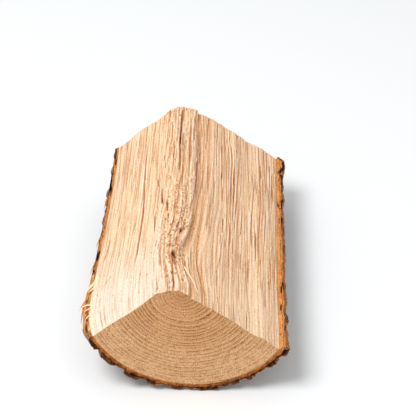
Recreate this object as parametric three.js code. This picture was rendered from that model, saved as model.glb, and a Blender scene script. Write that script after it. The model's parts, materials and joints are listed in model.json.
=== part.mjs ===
// A split log of firewood: roughly a third of a short round trunk, cleft along the grain on two
// sides and sawn square at both ends, with the bark still on its round side.
// Units are millimetres, +Z is up, and the grain runs along Y, from the front end (-Y) to the back.
// The log lies on its bark. The origin is the bottom centre of its bounding box.
// The cross-section is drawn about the pith, the trunk's growth centre, which is where the two
// cleft faces nearly meet.
import * as THREE from "three";

// Driving dimensions
const LENGTH = 330; // between the two sawn ends
const WOOD_RADIUS = 100; // from the trunk's centre to the cambium, where the bark begins
const TRUNK_CENTRE = new THREE.Vector2(8, -7); // from the pith, which grew off centre
const LEFT_CORNER_DEG = -153.7; // round the trunk's centre, where the left cleft face meets the bark
const RIGHT_CORNER_DEG = -34.4;
const INNER_BARK = 4.5; // solid inner bark, under the furrows
const RIDGE_HEIGHT = 7; // of the bark's ridges above the furrows
const RIDGE_PITCH_DEG = 12.8; // between ridges, round the trunk's centre
const FRAY = 1.2; // how far the saw broke the bark's outside back from each end
const REST_LEVEL = -116; // below the pith, where the ridges that the log lies on are pressed flat
const FIT_GAP = 0.3; // between the wood and the bark, which are separate solids

// How finely the surfaces are divided
const ARC_DIVISIONS = 28; // an arc gets two segments for each
const LENGTH_STEPS = 18;
const CLEFT_STEP = 9;

const { smoothstep, degToRad, radToDeg } = THREE.MathUtils;
const wave = (turns) => Math.sin(2 * Math.PI * turns);

// The cleft outline from the left corner over the broken crest to the right corner. The corners
// themselves belong to the trunk's arc.
const CLEFT_OUTLINE = [
  [-35, -12],
  [-25, -1],
  [-13, 3],
  [2, 0],
  [66, -47],
  [73, -49], // a small step in the right face
];

function onTrunk(radius, degrees) {
  const angle = degToRad(degrees);
  return new THREE.Vector2(Math.cos(angle), Math.sin(angle)).multiplyScalar(radius).add(TRUNK_CENTRE);
}

// Points along straight runs, no more than a step apart.
function divided(corners, step) {
  const points = [corners[0]];
  for (let i = 1; i < corners.length; i++) {
    const from = corners[i - 1];
    const count = Math.ceil(from.distanceTo(corners[i]) / step);
    for (let k = 1; k <= count; k++) points.push(from.clone().lerp(corners[i], k / count));
  }
  return points;
}

function woodSection() {
  const left = onTrunk(WOOD_RADIUS, LEFT_CORNER_DEG);
  const right = onTrunk(WOOD_RADIUS, RIGHT_CORNER_DEG);
  const crest = CLEFT_OUTLINE.map(([x, z]) => new THREE.Vector2(x, z));
  const shape = new THREE.Shape();
  shape.setFromPoints(divided([left, ...crest, right], CLEFT_STEP));
  const { x, y } = TRUNK_CENTRE;
  shape.absarc(x, y, WOOD_RADIUS, degToRad(RIGHT_CORNER_DEG), degToRad(LEFT_CORNER_DEG), true);
  return shape;
}

// The bark's torn edges stand a little past the wood's corners at the outside.
const BARK_LEFT_DEG = -154.5;
const BARK_RIGHT_DEG = -31.8;

function barkSection() {
  const { x, y } = TRUNK_CENTRE;
  const inner = WOOD_RADIUS + FIT_GAP;
  const outer = WOOD_RADIUS + INNER_BARK;
  const shape = new THREE.Shape();
  shape.absarc(x, y, outer, degToRad(BARK_RIGHT_DEG), degToRad(BARK_LEFT_DEG), true);
  shape.absarc(x, y, inner, degToRad(LEFT_CORNER_DEG), degToRad(RIGHT_CORNER_DEG), false);
  return shape;
}

// The bark's flat-topped ridges, which wander round the log as they run along it, but not where
// the bark is torn.
function ridgedBark(radius, degrees, along) {
  const ridge = (degrees + 90) / RIDGE_PITCH_DEG;
  const level = 0.5 - 0.5 * Math.cos(2 * Math.PI * ridge);
  const lumps = 0.9 + 0.1 * wave(1.7 * along + 0.35 * ridge);
  const fromEdges = Math.sin((Math.PI * (degrees - BARK_LEFT_DEG)) / (BARK_RIGHT_DEG - BARK_LEFT_DEG));
  const wander = 0.2 * wave(1.2 * along + 0.1 * ridge) + 0.12 * wave(2.6 * along + 0.3 * ridge);
  return onTrunk(
    radius + RIDGE_HEIGHT * lumps * smoothstep(level, 0.05, 0.7),
    degrees + RIDGE_PITCH_DEG * wander * Math.sqrt(Math.max(fromEdges, 0)),
  );
}

// The grain isn't straight: the whole log bows a little, its left edge swells near the front end
// and its crest leans over a small knot. Both solids bend by this same amount, so they keep
// fitting each other.
const SWELL_AT = 0.15; // as a share of the length
const KNOT_AT = 0.2;
function sidewaysDrift(x, z, along) {
  const swell = (along / SWELL_AT) * Math.exp(1 - along / SWELL_AT);
  const lean = ((along / KNOT_AT) * Math.exp(1 - along / KNOT_AT)) ** 3;
  const leftSide = smoothstep(-x, 20, 81);
  const nearPith = Math.exp(-(x * x + z * z) / (30 * 30));
  const bow = wave(0.6 * along + z / 150);
  return 0.8 * bow - 6.5 * swell * leftSide - 8.5 * lean * nearPith;
}

// The axe's cleft rises and falls along the grain, and dies out towards the bark.
function cleftRise(x, z, along) {
  const fromCentre = Math.hypot(x - TRUNK_CENTRE.x, z - TRUNK_CENTRE.y);
  const inside = 1 - smoothstep(fromCentre, 60, WOOD_RADIUS - 8);
  return inside * (1.6 * wave(0.9 * along + x / 110) + 0.8 * wave(2.3 * along - x / 70));
}

// Extrudes a section along the grain, centred on the log's middle, and shapes each vertex.
function grown(section, shapeVertex) {
  const geometry = new THREE.ExtrudeGeometry(section, {
    depth: LENGTH,
    steps: LENGTH_STEPS,
    curveSegments: ARC_DIVISIONS,
    bevelEnabled: false,
  });
  geometry.rotateX(Math.PI / 2).translate(0, LENGTH / 2, 0);
  const position = geometry.getAttribute("position");
  const vertex = new THREE.Vector3();
  for (let i = 0; i < position.count; i++) {
    vertex.fromBufferAttribute(position, i);
    const along = vertex.y / LENGTH + 0.5;
    shapeVertex(vertex, along);
    vertex.x += sidewaysDrift(vertex.x, vertex.z, along);
    position.setXYZ(i, vertex.x, vertex.y, vertex.z);
  }
  geometry.computeVertexNormals();
  return geometry;
}

function splitWood() {
  const geometry = grown(woodSection(), (vertex, along) => {
    vertex.z += cleftRise(vertex.x, vertex.z, along);
  });
  const freshWood = new THREE.MeshStandardMaterial({ color: 0xe6bf8f, roughness: 0.8, metalness: 0 });
  const mesh = new THREE.Mesh(geometry, freshWood);
  mesh.name = "split_wood";
  return mesh;
}

function bark() {
  const middleOfBark = WOOD_RADIUS + INNER_BARK / 2;
  const geometry = grown(barkSection(), (vertex, along) => {
    const fromCentre = new THREE.Vector2(vertex.x, vertex.z).sub(TRUNK_CENTRE);
    const radius = fromCentre.length();
    if (radius < middleOfBark) return;
    const degrees = radToDeg(Math.atan2(fromCentre.y, fromCentre.x));
    const raised = ridgedBark(radius, degrees, along);
    const frayed = FRAY * (1 + 0.4 * wave(degrees / 17));
    vertex.set(raised.x, vertex.y * (1 - (2 * frayed) / LENGTH), Math.max(raised.y, REST_LEVEL));
  });
  const barkBrown = new THREE.MeshStandardMaterial({ color: 0x5f4938, roughness: 0.95, metalness: 0 });
  const mesh = new THREE.Mesh(geometry, barkBrown);
  mesh.name = "bark";
  return mesh;
}

const log = new THREE.Group();
log.add(splitWood(), bark());

const box = new THREE.Box3().setFromObject(log);
const middle = box.getCenter(new THREE.Vector3());
log.position.set(-middle.x, -middle.y, -box.min.z);

export default log;
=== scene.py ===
import json
import math
from functools import lru_cache

import bpy
import numpy as np
from mathutils import Euler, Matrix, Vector


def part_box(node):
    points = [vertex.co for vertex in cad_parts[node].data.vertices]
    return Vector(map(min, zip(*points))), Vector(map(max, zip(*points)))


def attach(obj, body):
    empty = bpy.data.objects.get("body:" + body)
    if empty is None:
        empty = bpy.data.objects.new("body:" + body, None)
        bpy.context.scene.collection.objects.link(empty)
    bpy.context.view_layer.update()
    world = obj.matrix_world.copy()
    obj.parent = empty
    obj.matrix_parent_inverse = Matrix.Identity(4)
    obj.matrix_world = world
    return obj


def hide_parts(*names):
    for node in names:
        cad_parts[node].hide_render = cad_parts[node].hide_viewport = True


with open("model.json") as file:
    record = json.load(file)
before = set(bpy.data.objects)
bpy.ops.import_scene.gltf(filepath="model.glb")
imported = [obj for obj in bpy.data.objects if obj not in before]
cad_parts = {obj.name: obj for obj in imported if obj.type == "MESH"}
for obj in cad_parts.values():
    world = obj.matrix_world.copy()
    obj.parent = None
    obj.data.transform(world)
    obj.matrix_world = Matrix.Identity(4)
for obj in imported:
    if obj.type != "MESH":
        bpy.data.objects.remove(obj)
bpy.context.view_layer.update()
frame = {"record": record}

MM = 0.001

# ---------- the frame

MOUNT_BELOW_PITH = 50  # how far the front end's mount is below the pith
front_mount = next(m for m in frame["record"]["mounts"] if m["name"] == "front_end")
PITH = Vector(front_mount["pos_m"]) + Vector((0, 0, MOUNT_BELOW_PITH * MM))
wood_low, wood_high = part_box("split_wood")
LENGTH = (wood_high.y - wood_low.y) / MM
FLOOR_Z = -PITH.z / MM

# The section's driving dimensions, as in the part
WOOD_RADIUS = 100
TRUNK_CENTRE = np.array([8.0, -7.0])
LEFT_CORNER_DEG = -153.7  # round the trunk's centre, where the cleft faces meet the bark
RIGHT_CORNER_DEG = -34.4
INNER_BARK = 4.5  # solid inner bark, under the furrows
RIDGE_HEIGHT = 7
RIDGE_PITCH_DEG = 12.8
FIT_GAP = 0.3
BARK_LEFT_DEG = -154.5  # the bark's torn edges
BARK_RIGHT_DEG = -31.8
CLEFT_OUTLINE = [(-35, -12), (-25, -1), (-13, 3), (2, 0), (66, -47), (73, -49)]
SWELL_AT = 0.15  # as a share of the length
KNOT_AT = 0.2


def smoothstep(value, low, high):
    t = np.clip((value - low) / (high - low), 0, 1)
    return t * t * (3 - 2 * t)


def wave(turns):
    return np.sin(2 * math.pi * turns)


def hill(distance, width):
    return np.exp(-((distance / width) ** 2))


def on_trunk(radius, degrees):
    angle = np.radians(degrees)
    return np.stack([radius * np.cos(angle), radius * np.sin(angle)], axis=-1) + TRUNK_CENTRE


def sideways_drift(x, z, along):
    """How far the grain swells at the left edge and leans at the knot, as in the part."""
    swell = (along / SWELL_AT) * np.exp(1 - along / SWELL_AT)
    lean = ((along / KNOT_AT) * np.exp(1 - along / KNOT_AT)) ** 3
    bow = wave(0.6 * along + z / 150)
    return 0.8 * bow - 6.5 * swell * smoothstep(-x, 20, 81) - 8.5 * lean * hill(np.hypot(x, z), 30)


def cleft_rise(x, z, along):
    """The long rise and fall of the cleft faces, as in the part."""
    inside = 1 - smoothstep(np.hypot(x - TRUNK_CENTRE[0], z - TRUNK_CENTRE[1]), 60, WOOD_RADIUS - 8)
    return inside * (1.6 * wave(0.9 * along + x / 110) + 0.8 * wave(2.3 * along - x / 70))


# ---------- seeded randomness

TABLE = 256  # cells along each side of a table of random values, before it repeats


@lru_cache
def noise_table(seed):
    return np.random.default_rng(seed).uniform(-1, 1, (TABLE, TABLE))


def noise(u, v, seed):
    """Smooth random values between -1 and 1 that turn over about every unit of u and v."""
    u, v = np.broadcast_arrays(u, v)
    i, j = np.floor(u).astype(int), np.floor(v).astype(int)
    a, b = (t * t * t * (t * (6 * t - 15) + 10) for t in (u - i, v - j))
    table = noise_table(seed)
    near, far = j % TABLE, (j + 1) % TABLE
    left, right = i % TABLE, (i + 1) % TABLE
    low = table[left, near] * (1 - a) + table[right, near] * a
    high = table[left, far] * (1 - a) + table[right, far] * a
    return low * (1 - b) + high * b


def rough(u, v, seed, octaves):
    """Noise with finer and fainter noise added to it."""
    return sum(noise(u * 2**k, v * 2**k, seed + k) / 2**k for k in range(octaves))


def cells(u, v, seed):
    """The plane cracked into cells a unit or so across: how far a point is inside its cell, from 0
    on a crack, and the cell's own random value."""
    rng = np.random.default_rng(seed)
    shift_u, shift_v, value = rng.uniform(0, 1, (3, TABLE, TABLE))
    u, v = np.broadcast_arrays(u, v)
    i, j = np.floor(u).astype(int), np.floor(v).astype(int)
    nearest = np.full(u.shape, 9.0)
    second = np.full(u.shape, 9.0)
    own = np.zeros(u.shape)
    for di in (-1, 0, 1):
        for dj in (-1, 0, 1):
            a, b = (i + di) % TABLE, (j + dj) % TABLE
            gap = np.hypot(i + di + shift_u[a, b] - u, j + dj + shift_v[a, b] - v)
            own = np.where(gap < nearest, value[a, b], own)
            second = np.where(gap < nearest, nearest, np.minimum(second, gap))
            nearest = np.minimum(nearest, gap)
    return second - nearest, own


def seams(across, y, pitch, width, seed):
    """Long thin lines about a pitch apart, which wander along the grain, come and go."""
    wander = 0.5 * noise(across / (2.5 * pitch), y / 120, seed)
    wander += 0.12 * noise(across / pitch, y / 35, seed + 1)
    place = across / pitch + wander
    line = np.round(place)
    shown = smoothstep(noise(line * 7.3 + 0.5, y / 55, seed + 2), -0.25, 0.25)
    return shown * (1 - smoothstep(np.abs(place - line) * pitch, 0, width))


def terraces(value, sharpness):
    """Turns a slope into flat steps with short risers."""
    step = np.floor(value)
    return step + smoothstep(value - step, sharpness, 1)


# ---------- building a skin


SHARP_DEG = 40  # edges sharper than this stay sharp


class Skin:
    """One mesh: points about the pith with named values, and faces placed on the bake map."""

    def __init__(self):
        self.points = []
        self.values = {}
        self.count = 0
        self.faces = []
        self.places = []
        self.finishes = []

    def lay(self, points, **values):
        """Adds points, shaped (..., 3), and gives back their numbers in the same layout."""
        shape = points.shape[:-1]
        size = math.prod(shape)
        for name in self.values.keys() | values.keys():
            held = self.values.setdefault(name, [np.zeros(self.count)])
            held.append(np.broadcast_to(values.get(name, 0), shape).reshape(-1))
        self.points.append(points.reshape(-1, 3))
        numbers = np.arange(self.count, self.count + size).reshape(shape)
        self.count += size
        return numbers

    def cover(self, corners, places, finish):
        self.faces.append(corners)
        self.places.append(places)
        self.finishes.append(np.full(len(corners), finish))

    def cover_grid(self, numbers, places, finish, flip=False):
        """Quads over a grid of points. They face away from where its rows and columns turn."""
        order = (0, 3, 2, 1) if flip else (0, 1, 2, 3)

        def quads(a):
            corners = [a[:-1, :-1], a[:-1, 1:], a[1:, 1:], a[1:, :-1]]
            return np.stack([corners[k] for k in order], axis=2).reshape(-1, 4, *a.shape[2:])

        self.cover(quads(numbers), quads(places), finish)

    def cover_strip(self, first, second, places, finish, flip=False):
        """Triangles between two lines of points that share their ends but not their spacing."""
        a, b, triangles = 0, 0, []
        while a < len(first) - 1 or b < len(second) - 1:
            if (a + 1) * (len(second) - 1) <= (b + 1) * (len(first) - 1):
                triangles.append((first[a], first[a + 1], second[b]))
                a += 1
            else:
                triangles.append((first[a], second[b + 1], second[b]))
                b += 1
        triangles = [t[::-1] if flip else t for t in triangles if len(set(t)) == 3]
        self.cover(np.array(triangles), np.tile(places, (len(triangles), 1, 1)), finish)

    def build(self, name, materials):
        corners = np.concatenate(self.points) * MM
        corners += np.array(PITH)
        mesh = bpy.data.meshes.new(name)
        mesh.from_pydata(corners.tolist(), [], [f for group in self.faces for f in group.tolist()])
        for material in materials:
            mesh.materials.append(material)
        mesh.polygons.foreach_set("material_index", np.concatenate(self.finishes))
        bake_map = mesh.uv_layers.new(name="OFBake")
        bake_map.uv.foreach_set("vector", np.concatenate([p.reshape(-1) for p in self.places]))
        for value_name, held in self.values.items():
            attribute = mesh.attributes.new(value_name, "FLOAT", "POINT")
            attribute.data.foreach_set("value", np.concatenate(held))
        mesh.shade_smooth()
        mesh.set_sharp_from_angle(angle=math.radians(SHARP_DEG))
        piece = bpy.data.objects.new(name, mesh)
        bpy.context.scene.collection.objects.link(piece)
        return piece


def spot(u_low, u_high, v_low, v_high, columns, rows):
    """Places for a grid of points on a rectangle of the bake map."""
    u, v = np.meshgrid(np.linspace(u_low, u_high, columns), np.linspace(v_low, v_high, rows))
    return np.stack([u, v], axis=-1)


# ---------- material nodes


def srgb(red, green, blue):
    def linear(value):
        value /= 255
        return value / 12.92 if value <= 0.04045 else ((value + 0.055) / 1.055) ** 2.4

    return (linear(red), linear(green), linear(blue), 1)


class Shader:
    """A Principled material, with short ways to make the nodes that feed it. Where they take a
    number, they take another node's socket too."""

    def __init__(self, name, roughness, specular):
        self.material = bpy.data.materials.new(name)
        self.material.use_nodes = True
        self.tree = self.material.node_tree
        self.surface = self.tree.nodes["Principled BSDF"]
        self.surface.inputs["Roughness"].default_value = roughness
        self.surface.inputs["Specular IOR Level"].default_value = specular

    def link(self, socket, value):
        if isinstance(value, bpy.types.NodeSocket):
            self.tree.links.new(value, socket)
        else:
            socket.default_value = value

    def place(self):
        return self.tree.nodes.new("ShaderNodeTexCoord").outputs["Object"]

    def value(self, name):
        """One of the skin's named values."""
        node = self.tree.nodes.new("ShaderNodeAttribute")
        node.attribute_name = name
        return node.outputs["Fac"]

    def math(self, operation, a, b=0.0):
        node = self.tree.nodes.new("ShaderNodeMath")
        node.operation = operation
        for socket, value in zip(node.inputs, (a, b)):
            self.link(socket, value)
        return node.outputs[0]

    def plus(self, a, b):
        return self.math("ADD", a, b)

    def minus(self, a, b):
        return self.math("SUBTRACT", a, b)

    def times(self, a, b):
        return self.math("MULTIPLY", a, b)

    def vector(self, x, y):
        node = self.tree.nodes.new("ShaderNodeCombineXYZ")
        for socket, value in zip(node.inputs, (x, y)):
            self.link(socket, value)
        return node.outputs[0]

    def noise(self, place, scale=1.0, detail=2.0, roughness=0.5):
        node = self.tree.nodes.new("ShaderNodeTexNoise")
        self.link(node.inputs["Vector"], place)
        node.inputs["Scale"].default_value = scale
        node.inputs["Detail"].default_value = detail
        node.inputs["Roughness"].default_value = roughness
        return node.outputs["Fac"]

    def range(self, value, low, high, to_low=0.0, to_high=1.0):
        """Goes smoothly from to_low to to_high as the value goes from low to high."""
        node = self.tree.nodes.new("ShaderNodeMapRange")
        node.interpolation_type = "SMOOTHSTEP"
        for socket, number in zip(node.inputs, (value, low, high, to_low, to_high)):
            self.link(socket, number)
        return node.outputs[0]

    def mix(self, share, first, second):
        node = self.tree.nodes.new("ShaderNodeMix")
        node.data_type = "RGBA"
        factor, a, b = (node.inputs[k] for k in (0, 6, 7))  # the sockets for a colour's mix
        for socket, value in zip((factor, a, b), (share, first, second)):
            self.link(socket, value)
        return node.outputs[2]

    def coated(self, colour, coats):
        """The colour under others that each cover it by a share, the first of them lowest."""
        for share, coat in coats:
            colour = self.mix(share, colour, srgb(*coat))
        return colour

    def finish(self, colour, height, bump_mm):
        bump = self.tree.nodes.new("ShaderNodeBump")
        bump.inputs["Strength"].default_value = 1
        bump.inputs["Distance"].default_value = bump_mm * MM
        self.link(bump.inputs["Height"], height)
        self.link(self.surface.inputs["Normal"], bump.outputs[0])
        self.link(self.surface.inputs["Base Color"], colour)
        return self.material


# ---------- the wood

ACROSS_STEP = 0.8  # between the skin's points on the cleft faces
ALONG_STEP = 1.3
ARC_COLUMNS = 24  # under the bark
ROWS = round(LENGTH / ALONG_STEP) + 1
ALONG = np.linspace(0, LENGTH, ROWS)[:, None]
# The torn band along the crest, measured like everything across the cleft: from the left corner
CREST_ACROSS = (68, 112)
PITH_CRACK = 96  # the crack that runs back from the pith
CORNER_EASE = 3  # how far each side of its corners the cleft outline is rounded

cleft_corners = np.array(
    [
        on_trunk(WOOD_RADIUS, LEFT_CORNER_DEG),
        *CLEFT_OUTLINE,
        on_trunk(WOOD_RADIUS, RIGHT_CORNER_DEG),
    ]
)
corner_reach = np.concatenate([[0], np.cumsum(np.hypot(*np.diff(cleft_corners, axis=0).T))])
CLEFT_WIDTH = corner_reach[-1]
FACE_ACROSS = (4, CLEFT_WIDTH - 4)  # where small marks are strewn over both faces


def cleft_line(across):
    """The cleft outline, with its corners eased, at distances from the left corner."""
    ease = np.linspace(-CORNER_EASE, CORNER_EASE, 5)[:, None]
    fade = np.clip(np.minimum(across, CLEFT_WIDTH - across) / CORNER_EASE, 0, 1)
    spread = across + ease * fade
    return [np.interp(spread, corner_reach, cleft_corners[:, k]).mean(axis=0) for k in (0, 1)]


def cleft_points(across, y, relief):
    """Points on the cleft faces, raised by a relief square to the face."""
    shape = np.broadcast_shapes(np.shape(across), np.shape(y))
    flat = np.ravel(np.broadcast_to(across, shape))

    def line_at(place):
        return [c.reshape(shape) for c in cleft_line(np.clip(place, 0, CLEFT_WIDTH))]

    x, z = line_at(flat)
    run, rise = (b - a for a, b in zip(line_at(flat - 0.5), line_at(flat + 0.5)))
    slope = np.hypot(run, rise)
    along = y / LENGTH
    top = z + cleft_rise(x, z, along)
    x = x + sideways_drift(x, top, along)
    return np.stack([x - relief * rise / slope, y + 0 * x, top + relief * run / slope], axis=-1)


# Grooves where the grain opened: points (along, across), width, depth
LONG_GROOVES = [
    ([(60, 47), (87, 49), (129, 49), (157, 49), (235, 45.5), (300, 44)], 0.8, 1.7),
    ([(99, 72), (136, 66.5)], 0.8, 2.2),
    ([(140, 77.5), (177, 73)], 0.9, 2.4),
    ([(184, 67.5), (200, 65.5)], 0.8, 1.8),
    ([(106, 88.5), (124, 86.5)], 0.8, 1.8),
    ([(126, 85), (146, 82.5)], 0.8, 2.0),
    ([(61, 10), (66, 15), (78, 23)], 0.8, 1.2),
    ([(108, 7.5), (150, 10.5)], 0.7, 1.0),
    ([(-2, PITH_CRACK - 2.5), (31, PITH_CRACK), (60, PITH_CRACK + 3.5)], 0.6, 1.5),
    ([(190, 93), (262, 91), (332, 92)], 0.8, 2.0),
]
SHORT_GROOVES = 150
# Torn cords of grain that stand up beside the crest: points (along, across), width, height
CORDS = [
    ([(52, 101), (75, 104.5), (100, 109.5), (140, 110.5)], 2.6, 2.4),
    ([(20, 92), (48, 94), (70, 99)], 2.2, 1.2),
    ([(110, 98), (150, 99), (210, 96)], 2.6, 1.4),
    ([(160, 108), (230, 106), (300, 108)], 3.0, 1.6),
    ([(10, 110), (40, 113), (80, 116)], 2.0, 1.0),
]


def groove(across, y, points, width, depth):
    """A groove or a cord along the grain through some points, fading in and out at its ends."""
    alongs, acrosses = np.array(points, float).T
    fade = 0.2 * (alongs[-1] - alongs[0])
    shown = smoothstep(y, alongs[0], alongs[0] + fade)
    shown = shown * smoothstep(alongs[-1] - y, 0, fade)
    return depth * shown * hill(across - np.interp(y, alongs, acrosses), width)


def mound(across, y, place, at, stretch, radius):
    """A round hill on the cleft, drawn out along the grain where the stretch is below 1."""
    return hill(np.hypot(across - place, (y - at) * stretch), radius)


def grooves(across, y):
    rng = np.random.default_rng(11)
    depth = sum(groove(across, y, *each) for each in LONG_GROOVES)
    for _ in range(SHORT_GROOVES):
        start, place = rng.uniform(-10, LENGTH), rng.uniform(*FACE_ACROSS)
        run, lean = rng.uniform(10, 60), rng.uniform(-1, 1)
        tear = rng.uniform(0.2, 0.8) * (1.4 if place > CREST_ACROSS[0] else 0.8)
        depth += groove(across, y, [(start, place), (start + run, place + lean)], 0.6, tear)
    return depth


# Knots and pits: across, along, how wide, how tall (or deep)
KNOTS = [
    (97, 68, 5, 2.0),
    (102, 99, 5, 2.2),
    (92, 83, 6, 1.0),
    (98, 47, 6, 1.0),
    (104, 128, 9, 1.2),
]
DEEP_PITS = [
    (99.5, 57, 1.7, 4.2),
    (104, 19, 1.0, 2.4),
    (101, 52, 1.1, 2.6),
    (89.5, 24, 0.9, 1.3),
    (96.5, 71, 1.1, 2.4),
    (103.5, 96, 1.2, 2.8),
    (99, 104, 1.1, 2.4),
    (66.5, 42, 0.8, 0.8),
    (79, 8, 0.8, 0.9),
    (8.5, 55, 0.8, 0.7),
    (10.5, 29, 0.8, 0.7),
    (27.5, 40, 0.8, 0.8),
]
CREST_PITS, FACE_PITS, KNOT_PITS = 90, 50, 70  # small ones, strewn at random


def pits(across, y):
    rng = np.random.default_rng(5)
    depth = np.zeros(np.broadcast_shapes(across.shape, y.shape))
    for place, at, radius, deep in DEEP_PITS:
        depth += deep * mound(across, y, place, at, 0.6, radius)
    for _ in range(CREST_PITS):
        place, at = rng.uniform(*CREST_ACROSS), rng.uniform(0, LENGTH)
        deep, radius = rng.uniform(0.3, 1.1), rng.uniform(0.6, 0.9)
        depth += deep * mound(across, y, place, at, 0.7, radius)
    for _ in range(FACE_PITS):
        place, at, deep = rng.uniform(*FACE_ACROSS), rng.uniform(0, LENGTH), rng.uniform(0.3, 0.7)
        depth += deep * mound(across, y, place, at, 0.6, 0.7)
    for _ in range(KNOT_PITS):
        place, at = rng.normal(97, 8), rng.uniform(8, 135)
        deep, radius = rng.uniform(0.7, 1.6), rng.uniform(0.7, 1.1)
        depth += deep * mound(across, y, place, at, 0.8, radius)
    return depth


def torn_share(across, y):
    """Where the grain tore raggedly: along the crest, and most of all round its knots."""
    crest = smoothstep(across, 70, 84) * smoothstep(-across, -117, -108)
    knotty = sum(mound(across, y, place, at, 0.8, 7.5) for place, at, _, _ in KNOTS)
    patchy = smoothstep(noise(across / 9, y / 24, 55), -0.2, 0.5)
    return crest * np.clip(0.08 + 0.27 * patchy + 0.75 * knotty, 0, 1.0)


def cleft_relief(across, y):
    """How far the torn grain stands off the cleft, and how much of that is groove or pit."""
    grain = across + 2.2 * noise(across / 45, y / 110, 1) + 0.8 * noise(across / 12, y / 45, 2)
    crest = smoothstep(across, 66, 80) * smoothstep(-across, -120, -108)
    right = smoothstep(across, 104, 120)
    torn = torn_share(across, y)
    coarse = 0.3 + 0.56 * crest + 0.5 * right
    relief = coarse * 0.6 * rough(grain / 9, y / 190, 20, 2)
    relief += coarse * 0.6 * (terraces(2.5 * rough(grain / 7, y / 150, 30, 2), 0.8) / 2.5)
    relief += coarse * 0.45 * noise(grain / 2.3, y / 75, 40)
    relief += (0.14 + 0.16 * coarse) * noise(grain / 1.2, y / 40, 41)
    relief += crest * 0.7 * rough(grain / 4.5, y / 22, 50, 2)
    relief += crest * 0.3 * noise(grain / 1.6, y / 9, 52)
    relief += torn * 0.9 * rough(across / 3.4, y / 6, 53, 2)
    relief += torn * 0.45 * noise(across / 1.5, y / 2.9, 54)
    for place, at, wide, tall in KNOTS:
        relief = relief + tall * mound(across, y, place, at, 0.8, wide)
    for cord in CORDS:
        relief = relief + groove(across, y, *cord)
    # A long step down beside the crest
    step = smoothstep(across, 109, 112) * smoothstep(-across, -130, -114)
    relief -= 2.2 * step * smoothstep(y, 40, 110)
    split = 0.9 * seams(grain, y, 6.5, 0.9, 61) + 0.6 * seams(grain, y, 3.4, 0.8, 66)
    # The grain split cleanest near the front end, and most of all on the left
    calm = 1 - 0.65 * smoothstep(-across, -85, -30) * smoothstep(-y, -240, -80)
    calm = calm - 0.45 * smoothstep(across, 125, 160) * smoothstep(-y, -110, -40)
    relief = relief * calm
    hollow = grooves(across, y) + pits(across, y) + calm * (0.55 + 0.35 * coarse) * split
    hollow += 1.3 * torn * smoothstep(noise(across / 1.7, y / 3.1, 65), 0.5, 0.85)
    at_bark = smoothstep(np.minimum(across, CLEFT_WIDTH - across), 0, 4)
    return (relief - hollow) * (0.25 + 0.75 * at_bark), hollow


def growth(x, z):
    """How far through the tree's growth a point is: 0 at the pith and 1 at the bark. The rings'
    centres move from the pith to the trunk's centre as the rings grow."""
    off_centre = x * TRUNK_CENTRE[0] + z * TRUNK_CENTRE[1]
    room = WOOD_RADIUS**2 - TRUNK_CENTRE @ TRUNK_CENTRE
    return (np.sqrt(off_centre**2 + room * (x * x + z * z)) - off_centre) / room


END_RINGS = 14  # of points from a sawn end's rim to its centre
END_CENTRE = np.array([4.0, -55.0])
END_REACH = (95, 112)  # how far left of the pith and below it a sawn end reaches
END_MAP_SIZE = 400  # the width of the whole bake map at a sawn end's scale
END_MAP_V = 0.64
CLEFT_FINISH, SAWN_FINISH = 0, 1


def sawn_end(skin, rim, y, flip, u_low):
    """Closes one end of the wood with rings of points that shrink from its rim to a centre."""

    def places_at(points):
        u = u_low + (points[..., 0] + END_REACH[0]) / END_MAP_SIZE
        v = END_MAP_V + (points[..., 2] + END_REACH[1]) / END_MAP_SIZE
        return np.stack([u, v], axis=-1)

    outline = np.concatenate(skin.points)[rim]
    inward = np.array([0.012, *np.linspace(0.06, 0.93, END_RINGS - 2)])[:, None, None]
    centre = np.array([END_CENTRE[0], y, END_CENTRE[1]])
    inner = outline + (centre - outline) * inward
    inner[..., 1] = y
    middle = np.array([[centre]])
    rings = skin.lay(inner, growth=growth(inner[..., 0], inner[..., 2]))
    hub = skin.lay(middle, growth=growth(middle[..., 0], middle[..., 2]))[0, 0]
    numbers = np.concatenate([rim[None], rings])
    points = np.concatenate([outline[None], inner])
    wrapped = np.concatenate([numbers, numbers[:, :1]], axis=1)
    places = places_at(np.concatenate([points, points[:, :1]], axis=1))
    skin.cover_grid(wrapped, places, SAWN_FINISH, flip)
    last, after = wrapped[-1][:-1], wrapped[-1][1:]
    fan = np.stack([last, after, np.full_like(last, hub)], axis=1)
    last, after = places[-1][:-1], places[-1][1:]
    hub_places = np.broadcast_to(places_at(middle)[0, 0], after.shape)
    fan_places = np.stack([last, after, hub_places], axis=1)
    if flip:
        fan, fan_places = fan[:, ::-1], fan_places[:, ::-1]
    skin.cover(fan, fan_places, SAWN_FINISH)


def softened(values, reach):
    """Each value's mean with its neighbours across the grain."""
    padded = np.pad(values, ((0, 0), (reach, reach)), mode="edge")
    return sum(padded[:, k : k + values.shape[1]] for k in range(2 * reach + 1)) / (2 * reach + 1)


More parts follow.
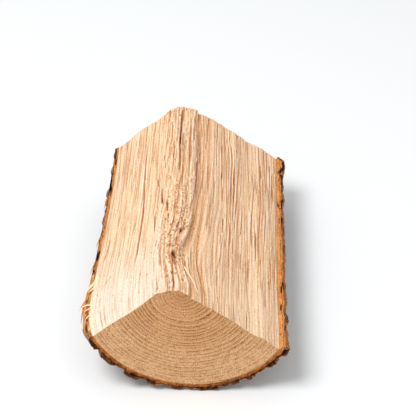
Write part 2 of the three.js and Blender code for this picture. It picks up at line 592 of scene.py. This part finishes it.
def wood_skin():
    skin = Skin()
    across = np.linspace(0, CLEFT_WIDTH, round(CLEFT_WIDTH / ACROSS_STEP) + 1)[None]
    relief, hollow = cleft_relief(across, ALONG)
    cleft = cleft_points(across, ALONG, relief)
    ragged = hill(np.minimum(ALONG, LENGTH - ALONG), 1.0)
    cleft[..., 1] += ragged * 0.5 * noise(across / 1.6, ALONG / 60, 60)
    degrees = np.linspace(RIGHT_CORNER_DEG, LEFT_CORNER_DEG, ARC_COLUMNS + 2)[None, 1:-1]
    arc = on_trunk(WOOD_RADIUS, degrees) + 0 * ALONG[..., None]
    drift = sideways_drift(arc[..., 0], arc[..., 1], ALONG / LENGTH)
    under = np.stack([arc[..., 0] + drift, ALONG + 0 * drift, arc[..., 1]], axis=-1)
    points = np.concatenate([cleft, under], axis=1)

    def cleft_only(values):
        return np.concatenate([values, np.zeros(under.shape[:-1])], axis=1)

    numbers = skin.lay(
        points,
        across=cleft_only(across + 0 * hollow) / CLEFT_WIDTH,
        along=ALONG / LENGTH,
        # the grooves' and pits' depth, which is also painted darker as shade
        hollow=cleft_only(hollow),
        relief=cleft_only(relief),
        # how far the relief lies below its neighbours, for painted shade in creases and painted
        # highlight on ridges
        valley=cleft_only(softened(relief, 3) - relief),
        torn=cleft_only(torn_share(across, ALONG)),
        growth=growth(points[..., 0], points[..., 2]),
    )
    cleft_places = spot(0.01, 0.79, 0.01, 0.6, cleft.shape[1], ROWS)
    under_places = spot(0.80, 0.99, 0.01, 0.6, ARC_COLUMNS + 1, ROWS)
    places = np.concatenate([cleft_places, under_places], axis=1)
    wrapped = np.concatenate([numbers, numbers[:, :1]], axis=1)
    skin.cover_grid(wrapped, places, CLEFT_FINISH)
    sawn_end(skin, numbers[0], 0.0, True, 0.01)
    sawn_end(skin, numbers[-1], LENGTH, False, 0.51)
    return skin


# ---------- the bark

BARK_COLUMNS = 300
BARK_ROWS = 246
THICKNESS_ROWS = 9  # through the bark, where its thickness shows
INNER_COLUMNS = 24
BARK_ALONG = np.linspace(0, LENGTH, BARK_ROWS)[:, None]
FRAY = 1.2  # how far the saw broke the crust back from each end, as in the part
ARC_UNIT = 100  # millimetres round the bark for each unit of its value across
CRUST_FINISH, TORN_FINISH = 0, 1
EDGE_LAYER = 0.95  # the outermost layer of bark, at the torn edges


def bark_crust(degrees, y):
    """The bark's height over its inner layer, and the values that its colours come from."""
    along = y / LENGTH
    from_left, from_right = degrees - BARK_LEFT_DEG, degrees - BARK_RIGHT_DEG
    from_end = np.minimum(y, LENGTH - y)
    arc = np.radians(degrees + 90) * (WOOD_RADIUS + INNER_BARK)
    ridge = (degrees + 90) / RIDGE_PITCH_DEG
    wander = 0.2 * wave(1.2 * along + 0.1 * ridge) + 0.12 * wave(2.6 * along + 0.3 * ridge)
    edge_share = from_left / (BARK_RIGHT_DEG - BARK_LEFT_DEG)
    wander = wander * np.sqrt(np.clip(np.sin(math.pi * edge_share), 0, 1))
    ragged = 0.20 * rough(arc / 16, y / 30, 70, 3)
    level = 0.5 - 0.5 * np.cos(2 * math.pi * (ridge - wander + ragged))
    lumps = 0.9 + 0.1 * wave(1.7 * along + 0.35 * ridge)
    height = RIDGE_HEIGHT * lumps * smoothstep(level, 0.03, 0.6)
    # The furrows fill up towards the sawn ends
    height += hill(from_end, 14) * (1.6 - 0.3 * height)
    # The ridges crack into plates, which lie at different levels, and the plates flake.
    bent = arc + 3 * rough(arc / 20, y / 30, 80, 2)
    slid = y + 7 * rough(arc / 14, y / 25, 90, 2)
    crack, plate = cells(bent / 15, slid / 42, 100)
    flake_edge, flake = cells(bent / 5.2 + 0.4 * noise(arc / 3, y / 4, 101), slid / 9, 102)
    high = smoothstep(height, 1.5, 4.5)
    opened = smoothstep(noise(arc / 19, y / 27, 103), -0.5, 0.35)
    opened = opened * (1 - smoothstep(crack, 0.02, 0.13))
    height = height - high * (2.4 * opened + 1.8 * (1 - plate))
    finer = 0.9 * (flake - 0.5) - 0.6 * (1 - smoothstep(flake_edge, 0, 0.18))
    finer *= 0.35 + 0.65 * high
    finer += 0.7 * rough(arc / 5, y / 9, 110, 3) + 0.3 * noise(arc / 1.7, y / 3, 115)
    height += finer * (1 - 0.6 * hill(from_end, 6))
    height += (1 - high) * 0.8 * noise(arc / 1.9, y / 16, 120)
    # The bark thins towards its torn edges
    thin = 0.35 * hill(from_left, 12) + 0.55 * hill(from_left, 3)
    thin += 0.25 * hill(from_right, 7) + 0.3 * hill(from_right, 3.5)
    height = height * (1 - thin) - hill(from_left, 2.5)
    values = {
        # where the plates' cracks opened, painted nearly black as shade
        "crack": opened * high,
        "furrow": 1 - high,
        "edge": high * (1 - smoothstep(crack, 0.03, 0.2)) + hill(high - 0.6, 0.2),
        "plate": 0.5 * plate + 0.5 * flake,
        "across": arc / ARC_UNIT,
        "along": along,
    }
    return np.maximum(height, -1.5), values


def edge_lumps(degrees, y):
    """The crust bulges past the torn edges in places."""
    left = 4 * hill(y - 20, 11) + 4.5 * np.clip(rough(y / 17, 0.5, 130, 2) + 0.3, 0, 1)
    left = left * hill(degrees - BARK_LEFT_DEG - 5, 3)
    right = hill(degrees - BARK_RIGHT_DEG + 2, 4) * 2.5 * rough(y / 15, 0.5, 140, 2)
    return left + right


def bark_points(radius, degrees, y):
    """Points round the trunk, bent as its grain is and pressed flat on the floor."""
    section = on_trunk(radius, degrees)
    x = section[..., 0] + sideways_drift(section[..., 0], section[..., 1], y / LENGTH)
    z = np.maximum(section[..., 1], FLOOR_Z)
    return np.stack([x, y + 0 * x, z + 0 * x], axis=-1)


def bark_skin():
    skin = Skin()
    degrees = np.linspace(BARK_RIGHT_DEG, BARK_LEFT_DEG, BARK_COLUMNS)[None]
    height, values = bark_crust(degrees, BARK_ALONG)
    height = height + edge_lumps(degrees, BARK_ALONG)
    outer = bark_points(WOOD_RADIUS + INNER_BARK + height, degrees, BARK_ALONG)
    frayed = FRAY * (1 + 0.4 * wave(degrees / 17) + 0.8 * noise(degrees / 3, BARK_ALONG / 60, 150))
    outer[..., 1] = LENGTH / 2 + (outer[..., 1] - LENGTH / 2) * (1 - 2 * frayed / LENGTH)
    layer = (INNER_BARK + height) / (INNER_BARK + RIDGE_HEIGHT)
    shown_layer = layer.copy()
    shown_layer[:, [0, -1]] = EDGE_LAYER
    crust = skin.lay(outer, layer=shown_layer, **values)
    inner_degrees = np.linspace(LEFT_CORNER_DEG, RIGHT_CORNER_DEG, INNER_COLUMNS)[None]
    inner = bark_points(WOOD_RADIUS + FIT_GAP, inner_degrees, BARK_ALONG)
    inner_across = np.radians(inner_degrees + 90)
    lining = skin.lay(inner, layer=0.0, along=BARK_ALONG / LENGTH, across=inner_across)

    def torn_edge(outside, inside, arc, seed):
        """The bark's own thickness where it tore, as columns from its outside to its inside."""
        share = np.linspace(0, 1, THICKNESS_ROWS + 1)[None, 1:-1, None]
        between = outside[:, None] * (1 - share) + inside[:, None] * share
        share = share[..., 0]
        torn = 1.1 * rough(6 * share, BARK_ALONG / 7, seed, 3) * np.sin(math.pi * share) - 0.3
        hole = np.clip(rough(2.2 * share, BARK_ALONG / 16, seed + 9, 2) - 0.18, 0, 1) * (1 - share)
        between[..., 2] += torn - 7 * hole
        return skin.lay(
            between,
            layer=EDGE_LAYER * (1 - share),
            # the holes, which are painted nearly black as shade
            hollow=6 * hole,
            along=BARK_ALONG / LENGTH,
            across=arc / ARC_UNIT + 0.05 * share,
        )

    left = torn_edge(outer[:, -1], inner[:, 0], values["across"][0, -1] * ARC_UNIT, 160)
    right = torn_edge(outer[:, 0], inner[:, -1], values["across"][0, 0] * ARC_UNIT, 180)
    left = np.concatenate([crust[:, -1:], left, lining[:, :1]], axis=1)
    right = np.concatenate([crust[:, :1], right, lining[:, -1:]], axis=1)

    edge_columns = THICKNESS_ROWS + 1
    skin.cover_grid(crust, spot(0.01, 0.82, 0.01, 0.84, BARK_COLUMNS, BARK_ROWS), CRUST_FINISH)
    skin.cover_grid(left, spot(0.83, 0.87, 0.01, 0.84, edge_columns, BARK_ROWS), TORN_FINISH)
    skin.cover_grid(lining, spot(0.93, 0.99, 0.01, 0.84, INNER_COLUMNS, BARK_ROWS), TORN_FINISH)
    skin.cover_grid(right, spot(0.88, 0.92, 0.01, 0.84, edge_columns, BARK_ROWS), TORN_FINISH, True)

    def sawn_rim(row, flip, v_low):
        """One sawn end of the bark, from its crust down to just outside its inner face."""
        share = np.linspace(0, 1, THICKNESS_ROWS + 1)[1:, None, None]
        outline = outer[row][None, 1:-1]
        toe = bark_points(WOOD_RADIUS + FIT_GAP + 0.25, degrees[:, 1:-1], BARK_ALONG[row])
        body = outline * (1 - share) + toe * share
        share = share[..., 0]
        depth = (1 - share) * layer[row][None, 1:-1]
        arc = ARC_UNIT * values["across"][:, 1:-1]
        middle = np.sin(math.pi * np.clip(share * 1.1, 0, 1))
        wide_ones = smoothstep(noise(arc / 7, depth * 5, 210 + row), 0.2, 0.5)
        thin_ones = smoothstep(noise(arc / 3, depth * 9, 220 + row), 0.35, 0.6)
        wide_ones = wide_ones * smoothstep(depth, 0.3, 0.5)
        thin_ones = thin_ones * smoothstep(depth, 0.25, 0.4)
        fissure = np.maximum(wide_ones, thin_ones) * middle
        inward = 1 if flip else -1
        body[..., 1] += inward * 2.5 * fissure + 0.5 * rough(arc / 2.2, depth * 6, 200, 2) * middle
        inside = skin.lay(
            body,
            layer=depth,
            sawn=1.0,
            # the fissures, which are painted nearly black as shade
            hollow=fissure,
            along=BARK_ALONG[row] / LENGTH,
            across=arc / ARC_UNIT,
        )
        below = np.concatenate([right[row][1:, None], inside, left[row][1:, None]], axis=1)
        rim = np.concatenate([crust[row][None], below])
        places = spot(0.01, 0.99, v_low, v_low + 0.055, BARK_COLUMNS, edge_columns)
        skin.cover_grid(rim, places, TORN_FINISH, flip)
        skin.cover_strip(rim[-1], lining[row][::-1], places[-1, :3], TORN_FINISH, flip)

    sawn_rim(0, True, 0.86)
    sawn_rim(-1, False, 0.93)
    return skin


# ---------- splinters and shreds

SHRED_SIDES = 6
SHRED_MAP_STEP = 0.012  # between two shreds' rows on the bake map


def shred(skin, path, width, thickness, row, twist=0.0):
    """A torn fibre: a tapered strip with a closed skin along a path."""
    path = np.array(path, float)
    smooth = np.linspace(0, len(path) - 1, 4 * len(path))
    path = np.stack([np.interp(smooth, np.arange(len(path)), path[:, k]) for k in range(3)], axis=1)
    for _ in range(3):
        path[1:-1] = (path[:-2] + 2 * path[1:-1] + path[2:]) / 4
    share = np.linspace(0, 1, len(path))[:, None]
    ahead = np.gradient(path, axis=0)
    ahead /= np.linalg.norm(ahead, axis=1, keepdims=True)
    side = np.cross(ahead, [0.2, 0.1, 1.0])
    side /= np.linalg.norm(side, axis=1, keepdims=True)
    up = np.cross(side, ahead)
    turn = np.linspace(0, 2 * math.pi, SHRED_SIDES, endpoint=False)[None] + twist * share
    taper = (1 - share**1.6) * 0.94 + 0.06
    flat = np.cos(turn) * width / 2 * taper
    deep = np.sin(turn) * thickness / 2 * taper
    points = path[:, None] + flat[..., None] * side[:, None] + deep[..., None] * up[:, None]
    numbers = skin.lay(points, along=share + row * 0.37, across=np.cos(turn) * 0.02)
    wrapped = np.concatenate([numbers, numbers[:, :1]], axis=1)
    v_low = row * SHRED_MAP_STEP + 0.01
    places = spot(0.01, 0.06, v_low, v_low + 0.01, SHRED_SIDES + 1, len(path))
    skin.cover_grid(wrapped, places, 0)
    # Each end is closed by two quads over its six points
    for line, flip in ((numbers[0], True), (numbers[-1], False)):
        ends = np.array([line[[0, 1, 2, 3]], line[[0, 3, 4, 5]]])
        ends = ends[:, ::-1] if flip else ends
        skin.cover(ends, np.tile(np.array([0.03, v_low]), (2, 4, 1)), 0)


def on_cleft(across, y, lift=0.0):
    """A point on the cleft's torn surface, or lifted off it."""
    place = np.array([[float(across)]])
    at = np.array([[float(y)]])
    relief, _ = cleft_relief(place, at)
    return cleft_points(place, at, relief + lift)[0, 0]


CREST_SPLINTERS, FACE_SPLINTERS = 40, 30
# The loose sliver on the right of the crest, near the front end: across, along, off the face
LONG_SLIVER = [(110, 42, -0.3), (112.5, 32, 1.2), (116, 19, 2.6), (119.5, 6, 2.2)]
# Slivers that stand out past the left edge, near the front end: along, and the way they go
OUTWARD_SLIVERS = [
    (80, [(-3, -8, 2.5), (-7, -17, 2.5), (-11, -26, 1)]),
    (72, [(-2, -4, 1), (-5, -9, 1)]),
    (45, [(-4, -1, 1), (-9, -2, -1), (-12, -4, -3)]),
    (40, [(-3, -3, 1), (-6, -7, 1)]),
    (30, [(-3, -3, 0), (-6, -8, -3)]),
    (14, [(-2, -4, -1), (-4, -9, -5)]),
]


def wood_splinters():
    skin = Skin()
    shred(skin, [on_cleft(*point) for point in LONG_SLIVER], 1.8, 0.8, 0)
    for number, (y, steps) in enumerate(OUTWARD_SLIVERS):
        root = on_cleft(2, y)
        path = [on_cleft(4, y + 10), root, *(root + step for step in steps)]
        shred(skin, path, 3.5 - 0.35 * number, 1.6 - 0.12 * number, number + 1, 0.5)
    rng = np.random.default_rng(21)
    for number in range(CREST_SPLINTERS + FACE_SPLINTERS):
        across = rng.uniform(*((66, 118) if number < CREST_SPLINTERS else FACE_ACROSS))
        y, run = rng.uniform(12, LENGTH - 6), rng.uniform(5, 15)
        way = rng.choice([-1, 1])
        lean, lift = rng.uniform(-1.5, 1.5), rng.uniform(0.4, 1.8)
        path = [on_cleft(across, y, -0.3)]
        for share in (0.5, 1.0):
            to_across = np.clip(across + lean * share, 1, CLEFT_WIDTH - 1)
            to_y = np.clip(y + way * run * share, 0, LENGTH)
            path.append(on_cleft(to_across, to_y, lift * share))
        shred(skin, path, rng.uniform(0.5, 1.1), 0.45, number + 7, rng.uniform(-1, 1))
    return skin


# Strips of inner bark that peel away from the left edge, most of them near the front end: width,
# thickness, and points along, out from the edge and up from it
STRIPS = [
    (4.2, 1.7, [(96, -1, 0.5), (84, -1, 1), (70, 0, 1.2), (56, 1, 1), (44, 3, 0.5), (34, 4, -1),
                (24, 5, -3)]),
    (3.0, 1.3, [(50, -1, 1), (40, 1, 2), (30, 2, 1), (18, 3, -1), (8, 3, -3)]),
    (1.6, 0.8, [(60, 0, 1.5), (50, 3, 1.5), (44, 6, 0), (42, 8, -2)]),
    (2.6, 1.2, [(34, 0, 1), (26, 2, 1.5), (16, 3, 0.5), (6, 3, -1)]),
    (1.6, 0.9, [(24, 0, 1), (14, 2, 1), (6, 3, 0), (1, 2, -1)]),
    (1.6, 0.8, [(120, 0, 0.5), (106, 2, 1), (96, 3, 0.5)]),
    (1.6, 0.8, [(165, 0, 0.5), (152, 2, 1), (142, 3, 0.5)]),
    (1.8, 0.8, [(236, 0, 0.5), (222, 2, 1), (210, 3, 0.5)]),
]
EDGE_SHREDS = 50


def bark_shreds():
    skin = Skin()
    for number, (width, thickness, steps) in enumerate(STRIPS):
        y, out, up = np.array(steps, float).T
        edge = bark_points(WOOD_RADIUS + 3.5, np.full(len(y), BARK_LEFT_DEG + 1), y)
        shred(skin, edge + np.stack([-out, 0 * y, up], axis=1), width, thickness, number, 0.6)
    rng = np.random.default_rng(31)
    for number in range(EDGE_SHREDS):
        degrees = rng.choice([BARK_LEFT_DEG + 0.5, BARK_RIGHT_DEG - 0.5])
        side = -1 if degrees < -90 else 1
        y = rng.uniform(8, LENGTH - 20)
        root = bark_points(WOOD_RADIUS + rng.uniform(0.5, 3), degrees, y)
        run, out = rng.uniform(6, 16), rng.uniform(0, 1.2) * side
        steps = [(0, 0, -0.4), (out * 0.4, run * 0.5, 0.9), (out, run, rng.uniform(0, 1.2))]
        path = [root + step for step in steps]
        shred(skin, path, rng.uniform(0.6, 1.4), 0.6, number + 8, rng.uniform(-1, 1))
    return skin


# ---------- materials


def grain_place(shader, across_scale, along_scale):
    """Where a point lies on the grain, stretched so that a noise runs along it."""
    across = shader.times(shader.value("across"), across_scale)
    return shader.vector(across, shader.times(shader.value("along"), along_scale))


def fine_lines(shader, value, width):
    """Thin lines where a noise crosses its middle."""
    gap = shader.math("ABSOLUTE", shader.minus(value, 0.5))
    return shader.range(gap, 0.0, width, 1.0, 0.0)


def cleft_wood_material():
    shader = Shader("cleft_wood", 0.62, 0.2)
    ramp, times = shader.range, shader.times
    place = shader.place()
    across, along, hollow = (shader.value(name) for name in ("across", "along", "hollow"))
    relief, valley, torn = (shader.value(name) for name in ("relief", "valley", "torn"))
    bands = shader.noise(grain_place(shader, 12, 0.9), 1, 3, 0.55)
    streaks = shader.noise(grain_place(shader, 75, 2.6), 1, 3, 0.6)
    threads = shader.noise(grain_place(shader, 190, 8), 1, 3, 0.65)
    long_lines = fine_lines(shader, shader.noise(grain_place(shader, 34, 1.3)), 0.035)
    short_lines = fine_lines(shader, shader.noise(grain_place(shader, 80, 4)), 0.045)
    patches = ramp(shader.noise(grain_place(shader, 9, 5)), 0.4, 0.6, 0.2, 1)
    specks = shader.noise(place, 640, 2, 0.65)
    chips = shader.noise(place, 340, 2, 0.6)
    pinholes = ramp(shader.noise(place, 430, 1), 0.61, 0.67)
    raw = ramp(torn, 0.25, 0.95)

    colour = shader.mix(ramp(bands, 0.36, 0.66), srgb(244, 211, 171), srgb(241, 203, 160))
    sapwood = times(ramp(across, 0.0, 0.3, 1, 0), ramp(along, 0.05, 0.5, 0.6, 0.15))
    colour = shader.coated(colour, [(sapwood, (242, 216, 190))])
    # The grain's streaks, threads and lines, and painted shade where the relief lies low
    colour = shader.coated(colour, [
        (ramp(streaks, 0.52, 0.75, 0, 0.4), (232, 182, 130)),
        (ramp(streaks, 0.46, 0.3, 0, 0.3), (250, 230, 208)),
        (ramp(threads, 0.56, 0.7, 0, 0.65), (210, 152, 96)),
        (ramp(threads, 0.45, 0.33, 0, 0.4), (251, 231, 212)),
        (times(long_lines, 0.75), (190, 128, 72)),
        (times(times(short_lines, patches), 0.7), (194, 132, 76)),
        # painted shade: the lower the relief, the darker and more orange it is painted
        (ramp(relief, -1.5, 0.3, 0.5, 0), (216, 160, 108)),
    ])
    # Both faces are smoother and paler near the front end, and painted shade darkens the crest's
    # right flank.
    left_calm = times(ramp(across, 0.34, 0.5, 1, 0), ramp(along, 0.06, 0.42, 0.72, 0))
    right_calm = times(ramp(across, 0.66, 0.8), ramp(along, 0.1, 0.35, 0.45, 0))
    painted_flank_shade = times(ramp(across, 0.49, 0.53), ramp(across, 0.57, 0.64, 0.4, 0))
    colour = shader.coated(colour, [
        (left_calm, (238, 222, 205)),
        (right_calm, (244, 212, 176)),
        # painted shade, darker and more orange, on the crest's right flank
        (painted_flank_shade, (222, 166, 112)),
    ])
    # Painted shade in the creases and painted highlight on the ridges between them, specks, the
    # crumbs of the torn band, and painted shade in the open grooves and pits
    colour = shader.coated(colour, [
        # painted shade in the creases, painted highlight on the ridges
        (ramp(valley, 0.06, 0.45, 0, 0.75), (206, 144, 88)),
        (ramp(valley, -0.03, -0.35, 0, 0.4), (251, 231, 213)),
        (ramp(specks, 0.54, 0.68, 0, 0.55), (206, 146, 92)),
        (ramp(specks, 0.46, 0.32, 0, 0.5), (255, 238, 224)),
        (times(ramp(chips, 0.55, 0.66, 0, 0.8), raw), (170, 104, 52)),
        (times(ramp(chips, 0.45, 0.34, 0, 0.6), raw), (254, 238, 208)),
        (times(pinholes, ramp(torn, 0.05, 0.4, 0, 0.85)), (160, 92, 42)),
        # painted shade in the grooves and pits, darker the deeper they are
        (ramp(hollow, 0.15, 0.9, 0, 0.8), (186, 122, 70)),
        (ramp(hollow, 1.0, 2.4, 0, 0.9), (96, 52, 26)),
    ])
    height = shader.plus(times(threads, 0.7), times(streaks, 0.5))
    height = shader.minus(height, times(long_lines, 0.4))
    crumbs = times(chips, times(torn, 1.3))
    return shader.finish(colour, shader.plus(height, crumbs), 1.0)


RING_COUNT = 28  # from the pith to the bark


def ring_lines(shader, growth, count, width):
    """Thin lines at the end of each year's growth, some stronger than others."""
    years = shader.times(growth, count)
    gap = shader.math("PINGPONG", years, 0.5)
    strength = shader.noise(shader.vector(shader.math("ROUND", years), 0.0), 1.7, 0)
    line = shader.range(gap, 0.0, width, 1.0, 0.0)
    return shader.times(line, shader.range(strength, 0.3, 0.7, 0.5, 1))


def sawn_wood_material():
    shader = Shader("sawn_wood", 0.85, 0.15)
    ramp, times = shader.range, shader.times
    place = shader.place()
    true_growth = shader.value("growth")
    # Years of quick and slow growth space the rings out unevenly, and the rings aren't quite round.
    uneven = shader.noise(shader.vector(true_growth, 0.0), 6, 1)
    growth = shader.plus(true_growth, times(uneven, 0.11))
    growth = shader.plus(growth, times(shader.noise(place, 24, 1), 0.035))
    patches = shader.noise(place, 30)
    broken = ramp(shader.noise(place, 220, 2, 0.6), 0.35, 0.6, 0.25, 1.0)
    clear = times(ramp(patches, 0.35, 0.62, 0.5, 1.0), ramp(growth, 0.7, 0.98, 1.0, 0.8))
    fuzz = shader.noise(place, 1000, 3, 0.75)
    saw = shader.noise(place, 330, 3, 0.7)
    late_wood = times(times(ring_lines(shader, growth, RING_COUNT, 0.17), broken), clear)
    after_late = shader.plus(growth, 0.4 / RING_COUNT)
    early_wood = times(ring_lines(shader, after_late, RING_COUNT, 0.15), clear)
    faint = times(ring_lines(shader, growth, 2.3 * RING_COUNT, 0.22), broken)

    mottled = ramp(patches, 0.35, 0.65)
    inner = shader.mix(mottled, srgb(217, 160, 108), srgb(197, 138, 87))
    outer = shader.mix(mottled, srgb(234, 187, 140), srgb(222, 172, 124))
    colour = shader.mix(ramp(growth, 0.45, 0.95), inner, outer)
    colour = shader.coated(colour, [
        (ramp(saw, 0.42, 0.66, 0, 0.7), (176, 122, 74)),
        (ramp(fuzz, 0.5, 0.63, 0, 0.95), (150, 90, 46)),
        (ramp(fuzz, 0.48, 0.37, 0, 0.85), (250, 210, 162)),
        (late_wood, (116, 62, 25)),
        (times(early_wood, 0.7), (242, 202, 156)),
        (times(faint, 0.5), (160, 106, 60)),
        (ramp(true_growth, 0.02, 0.2, 0.35, 0.0), (170, 116, 68)),
    ])
    return shader.finish(colour, shader.minus(fuzz, times(late_wood, 0.3)), 0.7)


def crust_material():
    shader = Shader("bark_crust", 0.92, 0.12)
    ramp, times = shader.range, shader.times
    place = shader.place()
    furrow, plate, crack = (shader.value(name) for name in ("furrow", "plate", "crack"))
    patches = shader.noise(place, 45, 4, 0.65)
    scales = shader.noise(place, 190, 3, 0.7)
    grit = shader.noise(place, 520, 4, 0.75)
    worn = ramp(shader.noise(place, 110, 4, 0.7), 0.47, 0.6, 0, 0.75)
    worn = times(shader.value("edge"), worn)
    lichen = ramp(shader.noise(place, 330), 0.6, 0.68)
    lichen = times(lichen, ramp(shader.noise(place, 25), 0.5, 0.62))

    high = shader.mix(ramp(plate, 0.2, 0.8), srgb(124, 95, 74), srgb(168, 137, 112))
    high = shader.mix(ramp(patches, 0.46, 0.66, 0, 0.7), high, srgb(158, 112, 78))
    low = shader.mix(ramp(patches, 0.4, 0.6), srgb(80, 59, 43), srgb(58, 41, 29))
    colour = shader.coated(shader.mix(furrow, high, low), [
        (ramp(scales, 0.5, 0.68, 0, 0.65), (74, 53, 38)),
        (ramp(scales, 0.44, 0.3, 0, 0.5), (196, 166, 140)),
        (ramp(grit, 0.51, 0.64, 0, 0.85), (52, 36, 25)),
        (ramp(grit, 0.46, 0.35, 0, 0.65), (214, 186, 160)),
        (worn, (164, 106, 62)),
        (times(lichen, 0.55), (186, 178, 142)),
        # painted shade: the open cracks between the bark's plates are painted nearly black
        (ramp(crack, 0.3, 0.9, 0, 0.85), (38, 25, 17)),
    ])
    return shader.finish(colour, shader.plus(times(grit, 0.8), times(scales, 1.2)), 1.3)


def torn_bark_material():
    """The bark's thickness, where it tore along the log and where it was sawn at the ends."""
    shader = Shader("torn_bark", 0.8, 0.2)
    ramp, times = shader.range, shader.times
    place = shader.place()
    across, layer, sawn = (shader.value(name) for name in ("across", "layer", "sawn"))
    fibres = shader.noise(grain_place(shader, 220, 16), 1, 4, 0.65)
    strata = shader.noise(shader.vector(times(across, 22), times(layer, 13)), 1, 4, 0.7)
    grit = shader.noise(place, 420, 4, 0.7)
    mottled = ramp(shader.noise(place, 240, 3, 0.6), 0.4, 0.6)
    depth = shader.plus(layer, times(shader.minus(strata, 0.5), 1.4))
    uneven = shader.plus(layer, times(shader.noise(place, 90, 3, 0.6), 0.4))
    seam = shader.math("ABSOLUTE", shader.minus(uneven, 0.62))

    torn = shader.mix(ramp(fibres, 0.35, 0.65), srgb(238, 168, 98), srgb(208, 132, 68))
    inner_cut = shader.mix(mottled, srgb(190, 112, 42), srgb(132, 70, 24))
    cut = shader.mix(ramp(depth, 0.12, 0.55), inner_cut, srgb(88, 45, 17))
    dark_grit = times(ramp(grit, 0.52, 0.66), ramp(sawn, 0.0, 1.0, 0.7, 0.45))
    pale_grit = times(ramp(grit, 0.45, 0.33), ramp(sawn, 0.0, 1.0, 0.4, 0.3))
    colour = shader.coated(shader.mix(sawn, torn, cut), [
        (dark_grit, (104, 54, 24)),
        (pale_grit, (244, 170, 96)),
        (ramp(seam, 0.0, 0.07, 0.8, 0), (78, 40, 18)),
        (ramp(uneven, 0.68, 0.9, 0, 0.75), (98, 58, 32)),
        # painted shade: the holes and fissures in the bark's thickness are painted nearly black
        (ramp(shader.value("hollow"), 0.1, 0.8, 0, 0.92), (34, 18, 9)),
    ])
    return shader.finish(colour, grit, 1.4)


def sliver_material():
    shader = Shader("sliver_wood", 0.65, 0.25)
    threads = shader.noise(grain_place(shader, 60, 5), 1, 3, 0.6)
    share = shader.range(threads, 0.35, 0.7)
    colour = shader.mix(share, srgb(254, 234, 204), srgb(232, 192, 146))
    return shader.finish(colour, threads, 0.3)


def shred_material():
    shader = Shader("inner_bark_shred", 0.7, 0.2)
    threads = shader.noise(grain_place(shader, 60, 7), 1, 3, 0.6)
    share = shader.range(threads, 0.35, 0.65)
    colour = shader.mix(share, srgb(226, 158, 94), srgb(176, 104, 50))
    return shader.finish(colour, threads, 0.4)


# ---------- the pieces


def place_piece(skin, name, materials, node):
    piece = skin.build(name, materials)
    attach(piece, "root")
    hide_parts(node)


wood_finishes = [cleft_wood_material(), sawn_wood_material()]
bark_finishes = [crust_material(), torn_bark_material()]
place_piece(wood_skin(), "cleft_wood_skin", wood_finishes, "split_wood")
place_piece(bark_skin(), "bark_skin", bark_finishes, "bark")
place_piece(wood_splinters(), "wood_splinters", [sliver_material()], "split_wood")
place_piece(bark_shreds(), "bark_shreds", [shred_material()], "bark")

# ---------- the floor, light and camera

FLOOR_SIZE = 60
FLOOR_COLOUR = (0.82, 0.835, 0.845, 1)
WORLD_STRENGTH = 0.72
KEY_LIGHT = {"place": (-1.0, -0.9, 2.4), "target": (0, 0, 0.05), "size": 1.3, "watts": 52}
CAMERA_FROM_PITH = (48, -1106, 839)
CAMERA_DOWN_DEG = 34
CAMERA_LEFT_DEG = 1.25
CAMERA_LENS = 133.2
CAMERA_SENSOR = 36


def plain_floor():
    bpy.ops.mesh.primitive_plane_add(size=FLOOR_SIZE, location=(0, 0, 0))
    floor = bpy.context.object
    floor.name = "studio_floor"
    shader = Shader("studio_floor", 0.9, 0.0)
    shader.surface.inputs["Base Color"].default_value = FLOOR_COLOUR
    floor.data.materials.append(shader.material)


def soft_light(name, place, target, size, watts):
    lamp = bpy.data.lights.new(name, "AREA")
    lamp.shape = "DISK"
    lamp.size = size
    lamp.energy = watts
    holder = bpy.data.objects.new(name, lamp)
    holder.location = place
    holder.rotation_euler = (Vector(target) - Vector(place)).to_track_quat("-Z", "Y").to_euler()
    bpy.context.scene.collection.objects.link(holder)


def pale_world(strength):
    world = bpy.data.worlds.new("studio")
    world.use_nodes = True
    background = world.node_tree.nodes["Background"]
    background.inputs["Color"].default_value = (1, 1, 1, 1)
    background.inputs["Strength"].default_value = strength
    bpy.context.scene.world = world


def photo_camera():
    lens = bpy.data.cameras.new("photo_camera")
    lens.sensor_width = CAMERA_SENSOR
    lens.lens = CAMERA_LENS
    lens.clip_end = 100
    holder = bpy.data.objects.new("photo_camera", lens)
    holder.location = PITH + Vector(CAMERA_FROM_PITH) * MM
    tilt, turn = math.radians(90 - CAMERA_DOWN_DEG), math.radians(CAMERA_LEFT_DEG)
    holder.rotation_euler = Euler((tilt, 0, turn))
    bpy.context.scene.collection.objects.link(holder)
    bpy.context.scene.camera = holder


plain_floor()
pale_world(WORLD_STRENGTH)
soft_light("key_light", **KEY_LIGHT)
photo_camera()
bpy.context.scene.view_settings.view_transform = "Standard"
